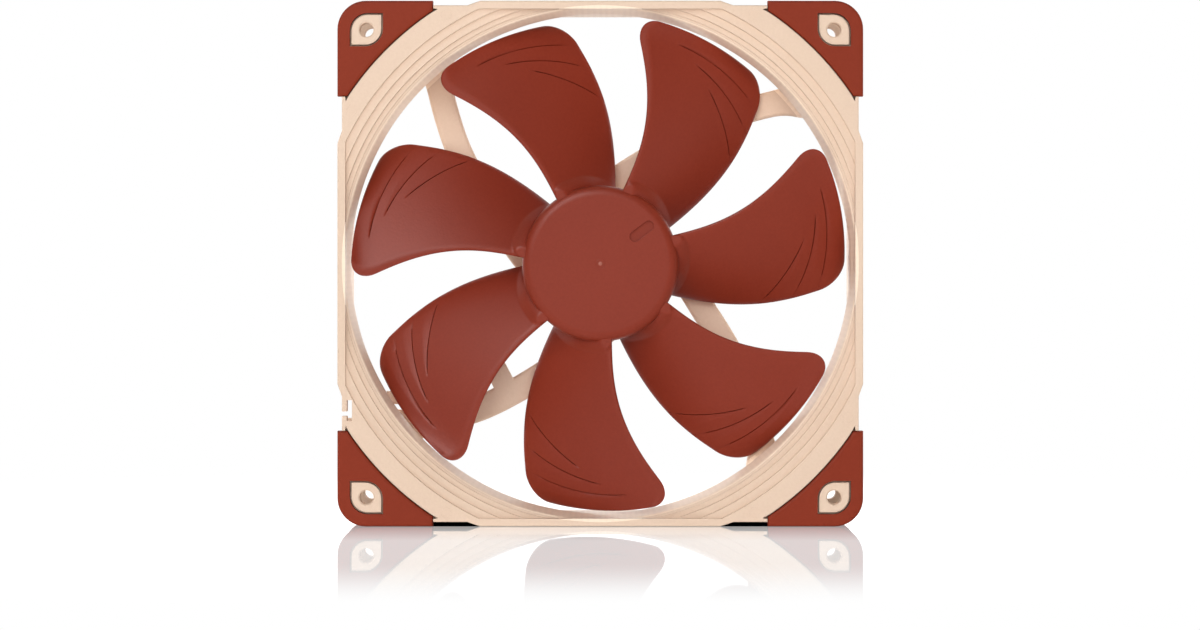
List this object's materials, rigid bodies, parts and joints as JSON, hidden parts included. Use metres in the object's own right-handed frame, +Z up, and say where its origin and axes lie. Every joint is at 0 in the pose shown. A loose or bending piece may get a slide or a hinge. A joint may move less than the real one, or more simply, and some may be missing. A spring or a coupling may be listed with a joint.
{
  "type": "computer case fan",
  "caption": "Square computer case fan with a stepped round inlet, open flange corners with soft pads, a swept-blade impeller and a hub-mounted brushless motor carried on curved struts.",
  "frame": {"origin": "on the spin axis, at half the fan's depth: the centre of the whole fan's box", "axes": "+Y along the spin axis towards the exhaust side, so the intake faces -Y; +Z up and +X to the right as seen from the intake side"},
  "size_m": [0.14, 0.025, 0.14],
  "materials": {
    "frame_plastic": "beige moulded glass-filled plastic, fine texture",
    "impeller_plastic": "red-brown moulded plastic, satin",
    "pad_silicone": "brown silicone, matte",
    "steel": "ground steel",
    "brass": "machined brass",
    "sintered_bronze": "sintered bronze, oil-filled, dull",
    "ferrite": "dark bonded ferrite",
    "lamination": "stacked silicon-steel sheets",
    "copper_wire": "enamelled copper wire",
    "insulator": "off-white moulded plastic",
    "white_nylon": "white nylon",
    "circuit_board": "green fibreglass board",
    "chip_black": "black moulded epoxy",
    "ceramic": "tan ceramic",
    "label": "blank printed-film label"
  },
  "bodies": {
    "frame": {"frame": "frame_plastic", "bearing_tube": "brass", "oil_seal": "white_nylon", "bearing_sleeve": "sintered_bronze", "thrust_pad": "white_nylon", "axial_magnet": "ferrite", "bearing_end_cap": "brass", "stator_core": "lamination", "insulator_front": "insulator", "insulator_rear": "insulator", "circuit_board": "circuit_board", "driver_chip": "chip_black", "hall_sensor": "chip_black", "capacitor_1": "ceramic", "capacitor_2": "ceramic", "resistor_1": "chip_black", "resistor_2": "chip_black", "supply_diode": "chip_black", "rear_label": "label", "front_pad_top_right": "pad_silicone", "front_pad_top_left": "pad_silicone", "front_pad_bottom_left": "pad_silicone", "front_pad_bottom_right": "pad_silicone", "rear_pad_top_right": "pad_silicone", "rear_pad_top_left": "pad_silicone", "rear_pad_bottom_left": "pad_silicone", "rear_pad_bottom_right": "pad_silicone", "coil_1": "copper_wire", "coil_2": "copper_wire", "coil_3": "copper_wire", "coil_4": "copper_wire", "winding_pin_1": "steel", "winding_pin_2": "steel", "winding_pin_3": "steel"},
    "rotor": {"impeller": "impeller_plastic", "rotor_yoke": "steel", "rotor_magnet": "ferrite", "shaft_insert": "brass", "shaft": "steel", "shaft_clip": "white_nylon"}
  },
  "joints": [
    {"name": "impeller_spin", "type": "hinge", "parent": "frame", "child": "rotor", "pos_m": [0, 0, 0], "axis": [0, -1, 0], "continuous": true}
  ]
}
